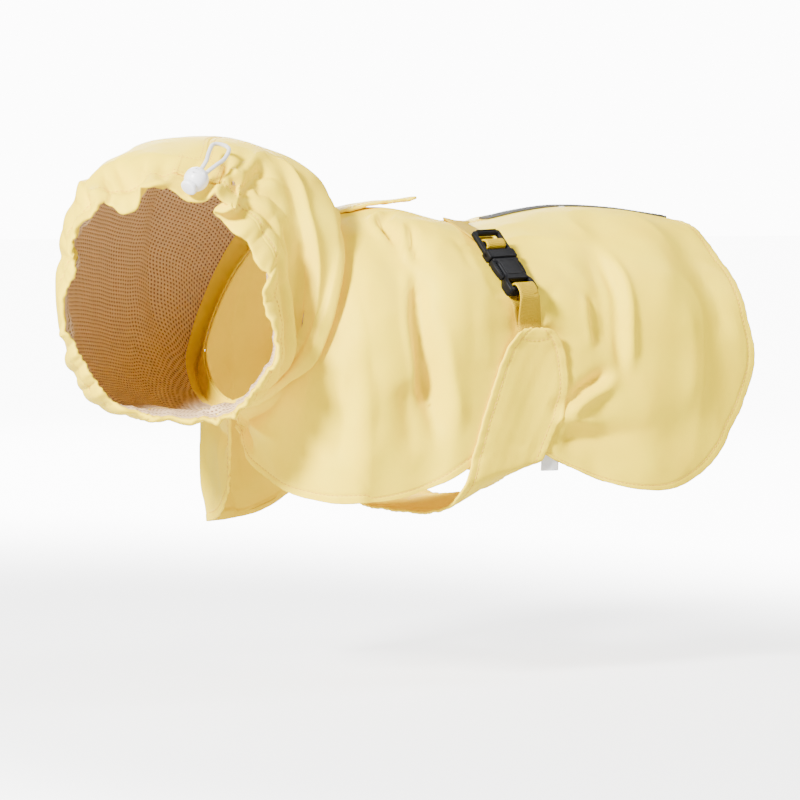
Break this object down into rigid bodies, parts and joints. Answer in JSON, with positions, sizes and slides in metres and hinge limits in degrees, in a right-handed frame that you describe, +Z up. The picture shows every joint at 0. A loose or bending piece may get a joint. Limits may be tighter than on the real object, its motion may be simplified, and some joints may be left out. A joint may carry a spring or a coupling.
{
  "type": "dog raincoat",
  "caption": "Hooded dog raincoat in worn form: hollow cape over back and chest, gathered hood, belly band closed by webbing and a side-release buckle.",
  "frame": {"origin": "on the coat's spine over the withers, where it hangs on the wearer's back", "axes": "+X runs back along the wearer's spine to the tail, -Y is the side with the buckle, +Z is up"},
  "size_m": [0.4759, 0.2176, 0.2519],
  "materials": {
    "shell": "smooth tightly woven rain shell, slight sheen",
    "lining": "beige mesh",
    "strip": "grey reflective tape, plain",
    "webbing": "woven webbing",
    "buckle": "moulded, fine texture",
    "lock": "moulded white, satin",
    "elastic": "braided round elastic",
    "label": "plain woven tape"
  },
  "bodies": {
    "root": {"cape_near": "shell", "cape_far": "shell", "hood_near": "shell", "hood_far": "shell", "hood_casing": "shell", "cord_patch": "shell", "leash_flap": "shell", "belly_band": "shell", "hood_lining": "lining", "back_strip": "strip", "webbing_back": "webbing", "webbing_side": "webbing", "buckle_male": "buckle", "buckle_female": "buckle", "cord_lock": "lock", "cord_lock_button": "lock", "elastic_loop": "elastic", "care_label": "label"}
  },
  "joints": []
}
